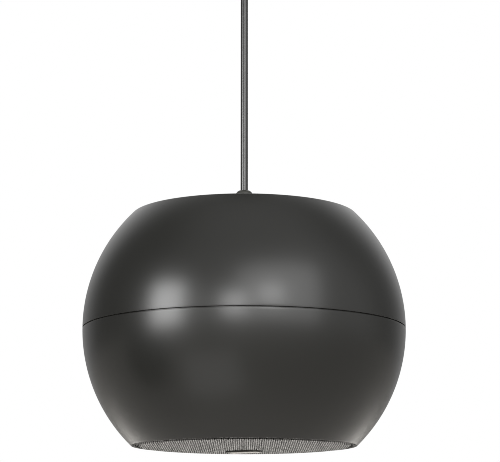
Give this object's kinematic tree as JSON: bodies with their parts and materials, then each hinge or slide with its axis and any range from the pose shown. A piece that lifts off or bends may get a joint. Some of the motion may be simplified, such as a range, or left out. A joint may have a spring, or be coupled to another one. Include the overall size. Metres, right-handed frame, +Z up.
{
  "type": "pendant speaker",
  "caption": "Ball-shaped pendant loudspeaker with a flat top and a flat perforated grille underneath, hung on its own cable from a round ceiling cup.",
  "frame": {"origin": "centre of the ceiling plate's upper face, between its two screw holes", "axes": "+Z up, out of the plate's upper face into the ceiling; +X along the line of the two ceiling screws; -Y towards the viewer of the picture"},
  "size_m": [0.28, 0.28, 0.4569],
  "materials": {
    "housing": "satin, fine moulded texture",
    "grille_paint": "warm grey powder coat on perforated steel",
    "badge_plate": "satin, left blank",
    "gland_nylon": "satin nylon",
    "cable_jacket": "semi-gloss PVC",
    "black_rubber": "matt rubber",
    "foam": "closed-cell foam",
    "zinc_screws": "zinc plated",
    "baffle_plastic": "matt black",
    "basket_paint": "black paint on pressed steel",
    "cone_paper": "black pressed pulp",
    "copper": "enamelled copper wire",
    "spider_cloth": "resin-dipped cloth",
    "magnet_steel": "zinc plated",
    "ferrite": "ground ferrite",
    "tweeter_plastic": "matt black",
    "dome_silk": "coated silk",
    "core_steel": "varnished laminations",
    "board": "glass-epoxy board",
    "terminal_plastic": "polyamide",
    "capacitor_sleeve": "shrink sleeve",
    "cup_paint": "satin paint on drawn steel",
    "plate_zinc": "zinc plated"
  },
  "bodies": {
    "speaker": {"upper_shell": "housing", "lower_shell": "housing", "seam_gasket": "foam", "shell_screws": "zinc_screws", "front_baffle": "baffle_plastic", "baffle_screws": "zinc_screws", "grille": "grille_paint", "grille_badge": "badge_plate", "driver_gasket": "foam", "woofer_basket": "basket_paint", "driver_screws": "zinc_screws", "surround": "black_rubber", "spider": "spider_cloth", "top_plate": "magnet_steel", "magnet": "ferrite", "pole_yoke": "magnet_steel", "driver_terminals": "terminal_plastic", "tweeter_post": "magnet_steel", "tweeter_body": "tweeter_plastic", "tweeter_dome": "dome_silk", "gland_body": "gland_nylon", "gland_dome_nut": "gland_nylon", "gland_seal": "black_rubber", "gland_locknut": "gland_nylon", "cable_stop": "zinc_screws", "crossover_board": "board", "board_screws": "zinc_screws", "terminal_block": "terminal_plastic", "crossover_capacitor": "capacitor_sleeve", "crossover_coil": "copper", "transformer_core": "core_steel", "transformer_coil": "copper", "transformer_bracket": "plate_zinc", "transformer_screws": "zinc_screws", "ceiling_plate": "plate_zinc", "cup_lugs": "plate_zinc", "ceiling_cup": "cup_paint", "cup_screws": "zinc_screws", "cord_grip": "gland_nylon", "cord_grip_nut": "gland_nylon", "ceiling_terminal": "terminal_plastic", "cable": "cable_jacket"},
    "diaphragm": {"cone": "cone_paper", "voice_coil": "copper"}
  },
  "joints": [
    {"name": "diaphragm_travel", "type": "slide", "parent": "speaker", "child": "diaphragm", "axis": [0, 0, 1], "range_m": [-0.004, 0.004], "stiffness_N_per_m": 1500, "deforming": ["surround", "spider"]}
  ]
}
